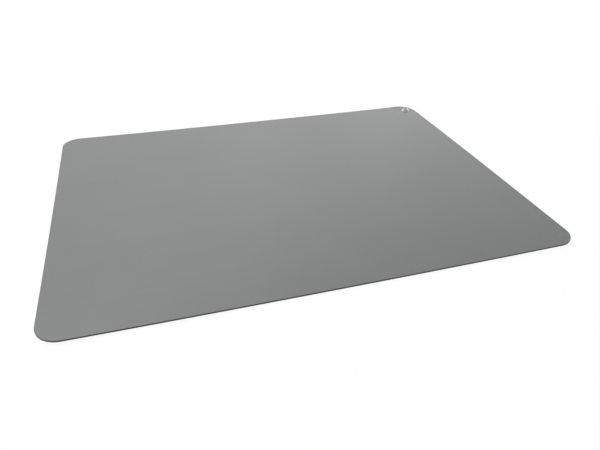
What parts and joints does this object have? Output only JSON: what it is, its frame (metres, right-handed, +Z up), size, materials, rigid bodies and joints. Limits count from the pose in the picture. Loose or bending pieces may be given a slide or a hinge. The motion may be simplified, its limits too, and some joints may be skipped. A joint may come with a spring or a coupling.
{
  "type": "anti-static bench mat",
  "caption": "Flat two-layer anti-static bench mat, 600 by 450 mm, with round corners and a riveted 10 mm metal ground snap near one corner.",
  "frame": {"origin": "centre of the mat's underside, on the surface that it lies on", "axes": "+Z up through the mat, +X along its long side, +Y along its short side, with the snap in the +X +Y corner"},
  "size_m": [0.6, 0.45, 0.0046],
  "materials": {
    "dissipative_rubber": "satin",
    "conductive_rubber": "matte",
    "nickel_plate": "satin",
    "plated_steel": "satin"
  },
  "bodies": {
    "root": {"top_sheet": "dissipative_rubber", "base_sheet": "conductive_rubber", "snap_stud": "nickel_plate", "stud_rivet": "nickel_plate", "backing_washer": "plated_steel"}
  },
  "joints": []
}
